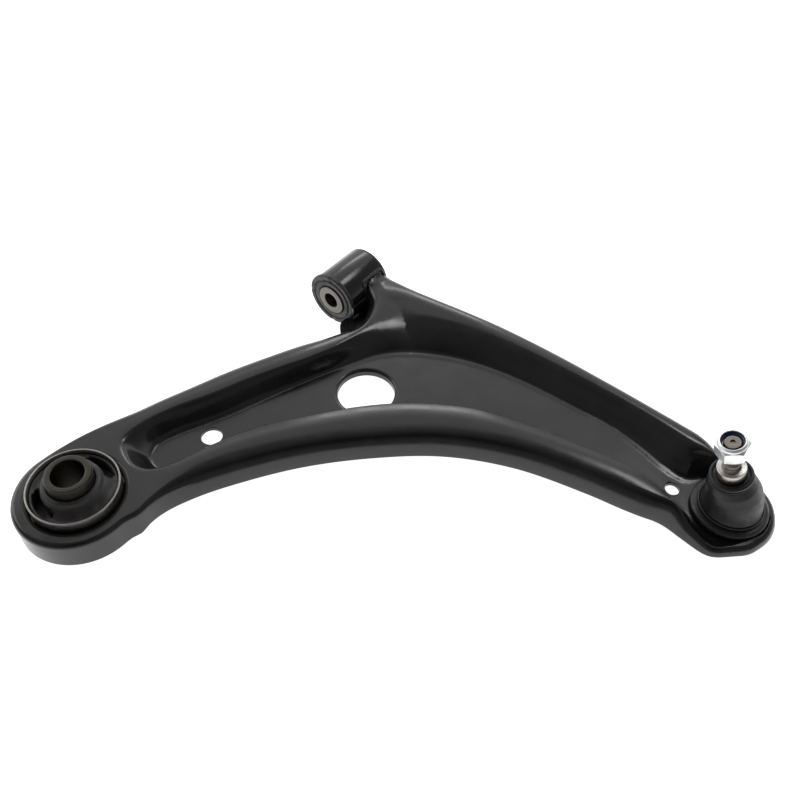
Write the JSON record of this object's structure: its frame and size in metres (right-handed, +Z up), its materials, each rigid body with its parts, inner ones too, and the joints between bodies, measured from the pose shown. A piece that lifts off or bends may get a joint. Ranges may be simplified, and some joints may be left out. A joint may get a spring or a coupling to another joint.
{
  "type": "suspension control arm",
  "caption": "Pressed-steel lower control arm with an upright rear bush, a cross-axis front bush and a ball joint with its lock nut.",
  "frame": {"origin": "bottom centre of the part's box, on the surface it rests on", "axes": "+X outboard from the pivot axis to the ball joint, +Y forward along the pivot axis from the rear bush to the front bush, +Z up along the rear bush"},
  "size_m": [0.4048, 0.3484, 0.0859],
  "materials": {
    "black_paint": "gloss",
    "rubber": "matte",
    "boot_rubber": "satin",
    "bare_steel": "satin",
    "zinc": "satin",
    "black_steel": "satin",
    "seat_plastic": "matte",
    "blue_nylon": "satin"
  },
  "bodies": {
    "arm": {"arm_pressing": "black_paint", "bush_gusset": "black_paint", "front_bush_tube": "black_paint", "front_outer_sleeve": "bare_steel", "front_bush_rubber": "rubber", "rear_outer_sleeve": "bare_steel", "rear_bush_rubber": "rubber", "ball_joint_housing": "black_steel", "ball_joint_end_cap": "black_steel", "housing_retaining_ring": "black_steel"},
    "front_sleeve": {"front_inner_sleeve": "bare_steel"},
    "rear_sleeve": {"rear_inner_sleeve": "bare_steel"},
    "ball_carrier": {"ball_seat": "seat_plastic", "rubber_boot": "boot_rubber", "boot_lower_ring": "black_steel"},
    "swing": {"boot_upper_ring": "black_steel"},
    "stud": {"ball_stud": "zinc"},
    "nut_thread": {"nylon_insert": "blue_nylon"},
    "nut": {"hex_nut": "zinc"}
  },
  "joints": [
    {"name": "front_bush_twist", "type": "hinge", "parent": "arm", "child": "front_sleeve", "pos_m": [-0.16217, 0.13923, 0.0222], "axis": [0, 1, 0], "range_deg": [-25, 25], "stiffness_Nm_per_rad": 60, "deforming": ["front_bush_rubber"]},
    {"name": "rear_bush_tilt", "type": "hinge", "parent": "arm", "child": "rear_sleeve", "pos_m": [-0.16217, -0.13267, 0.0261], "axis": [0, 1, 0], "range_deg": [-12, 12], "stiffness_Nm_per_rad": 100, "deforming": ["rear_bush_rubber"]},
    {"name": "ball_spin", "type": "hinge", "parent": "arm", "child": "ball_carrier", "pos_m": [0.17063, 0.13483, 0.017], "axis": [0, 0, 1], "continuous": true},
    {"name": "ball_tilt", "type": "hinge", "parent": "ball_carrier", "child": "swing", "pos_m": [0.17063, 0.13483, 0.017], "axis": [0.596, -0.803, 0], "range_deg": [-40, 11], "deforming": ["rubber_boot"]},
    {"name": "stud_turn", "type": "hinge", "parent": "swing", "child": "stud", "pos_m": [0.17063, 0.13483, 0.017], "axis": [-0.2038, -0.1512, 0.9673], "continuous": true},
    {"name": "nut_travel", "type": "slide", "parent": "stud", "child": "nut_thread", "axis": [-0.2038, -0.1512, 0.9673], "range_m": [-0.0095, 0.009]},
    {"name": "nut_turn", "type": "hinge", "parent": "nut_thread", "child": "nut", "pos_m": [0.17063, 0.13483, 0.017], "axis": [-0.2038, -0.1512, 0.9673], "range_deg": [-2700, 2520]}
  ],
  "couplings": [
    {"joint": "nut_travel", "follows": "nut_turn", "m_per_rad": 0.00019894}
  ]
}
